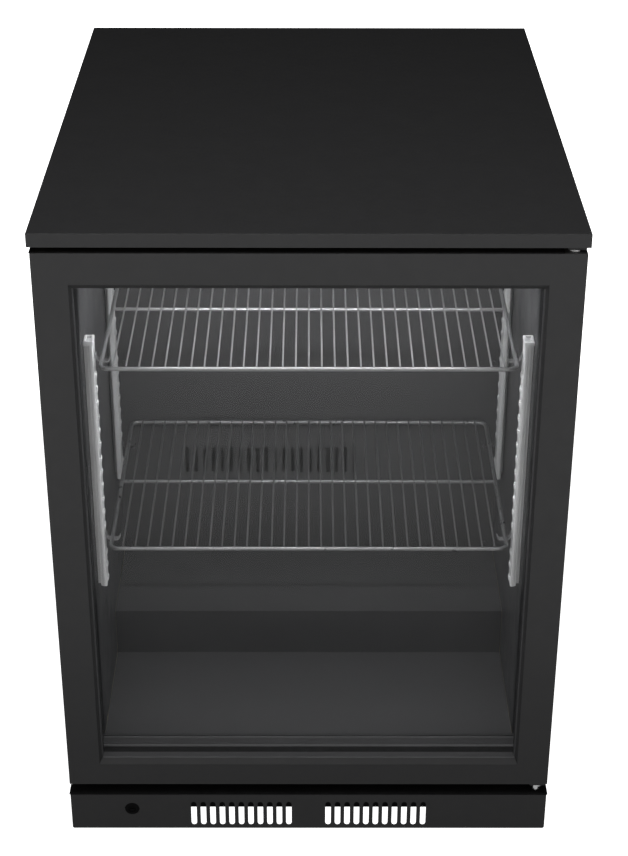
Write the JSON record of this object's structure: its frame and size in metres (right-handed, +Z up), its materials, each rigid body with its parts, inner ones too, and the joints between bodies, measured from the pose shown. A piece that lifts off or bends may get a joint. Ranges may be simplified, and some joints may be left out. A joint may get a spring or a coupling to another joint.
{
  "type": "undercounter refrigerator",
  "caption": "Black undercounter refrigerator: hinged double-glazed door, lit compartment, lift-out wire shelves on posts, cam lock, slotted plinth, and a compressor unit behind.",
  "frame": {"origin": "on the floor in the middle of the footprint", "axes": "+Z up, the door faces -Y, +X to the right of someone facing the door"},
  "size_m": [0.6, 0.73, 0.81],
  "materials": {
    "powder_coat": "black satin powder coat with a fine texture",
    "liner_paint": "dark grey painted aluminium sheet, satin",
    "black_plastic": "matt black moulded plastic",
    "rubber": "matt black rubber",
    "foam": "rigid pale yellow polyurethane foam",
    "board": "raw particle board",
    "zinc": "bright zinc plated steel",
    "chrome_wire": "bright chrome plated wire",
    "hinge_chrome": "bright plated steel pin",
    "galvanised": "galvanised steel sheet",
    "aluminium_fins": "mill finish aluminium fins",
    "spacer_aluminium": "mill finish aluminium bar",
    "glass": "clear tempered glass with a faint grey tint",
    "light_diffuser": "milky diffuser, lit from inside",
    "compressor_enamel": "gloss black enamel",
    "lock_finish": "black lacquered steel"
  },
  "bodies": {
    "cabinet": {"worktop_cover": "powder_coat", "side_panel_left": "powder_coat", "side_panel_right": "powder_coat", "plinth": "powder_coat", "hinge_bracket_top": "powder_coat", "hinge_bracket_bottom": "powder_coat", "liner_left": "liner_paint", "liner_right": "liner_paint", "liner_floor": "liner_paint", "liner_ceiling": "liner_paint", "liner_back": "liner_paint", "evaporator_cover": "liner_paint", "breaker_frame": "black_plastic", "cable_gland": "black_plastic", "foot_front_left": "rubber", "foot_front_right": "rubber", "foot_rear_left": "rubber", "foot_rear_right": "rubber", "insulation_walls": "foam", "insulation_back": "foam", "insulation_floor": "foam", "worktop_board": "board", "post_front_left": "zinc", "post_front_right": "zinc", "post_rear_left": "zinc", "post_rear_right": "zinc", "clip_top_front_left": "zinc", "clip_top_front_right": "zinc", "clip_top_rear_left": "zinc", "clip_top_rear_right": "zinc", "clip_lower_front_left": "zinc", "clip_lower_front_right": "zinc", "clip_lower_rear_left": "zinc", "clip_lower_rear_right": "zinc", "hinge_pin_top": "hinge_chrome", "hinge_pin_bottom": "hinge_chrome", "base_plate": "galvanised", "partition_panel": "galvanised", "condenser_shroud": "galvanised", "evaporator_fan_motor": "galvanised", "condenser_fan_motor": "galvanised", "rear_grille": "galvanised", "evaporator_coil": "aluminium_fins", "condenser_coil": "aluminium_fins", "light_bar": "light_diffuser", "compressor": "compressor_enamel", "lock_barrel": "lock_finish"},
    "door": {"door_skin": "powder_coat", "door_inner_frame": "black_plastic", "glazing_seal": "rubber", "glass_outer": "glass", "glass_inner": "glass", "spacer_bar": "spacer_aluminium", "door_seal": "rubber"},
    "shelf_top": {"shelf_top": "chrome_wire"},
    "shelf_lower": {"shelf_lower": "chrome_wire"},
    "lock_plug": {"lock_plug": "lock_finish"},
    "evaporator_fan": {"evaporator_fan": "black_plastic"},
    "condenser_fan": {"condenser_fan": "black_plastic"},
    "thermostat_knob": {"thermostat_knob": "black_plastic"}
  },
  "joints": [
    {"name": "door_hinge", "type": "hinge", "parent": "cabinet", "child": "door", "pos_m": [0.284, -0.353, 0.4285], "axis": [0, 0, 1], "range_deg": [0, 100]},
    {"name": "lock_turn", "type": "hinge", "parent": "cabinet", "child": "lock_plug", "pos_m": [-0.2208, -0.365, 0.0312], "axis": [0, 1, 0], "range_deg": [0, 90]},
    {"name": "shelf_top_lift", "type": "slide", "parent": "cabinet", "child": "shelf_top", "axis": [0, 0, 1], "range_m": [0, 0.08]},
    {"name": "shelf_lower_lift", "type": "slide", "parent": "cabinet", "child": "shelf_lower", "axis": [0, 0, 1], "range_m": [0, 0.08]},
    {"name": "thermostat_turn", "type": "hinge", "parent": "cabinet", "child": "thermostat_knob", "pos_m": [0.12, -0.205, 0.7522], "axis": [0, 0, -1], "range_deg": [0, 270]},
    {"name": "evaporator_fan_spin", "type": "hinge", "parent": "cabinet", "child": "evaporator_fan", "pos_m": [0, 0.041, 0.662], "axis": [0, 1, 0], "continuous": true},
    {"name": "condenser_fan_spin", "type": "hinge", "parent": "cabinet", "child": "condenser_fan", "pos_m": [-0.16, 0.269, 0.16], "axis": [0, 1, 0], "continuous": true}
  ]
}
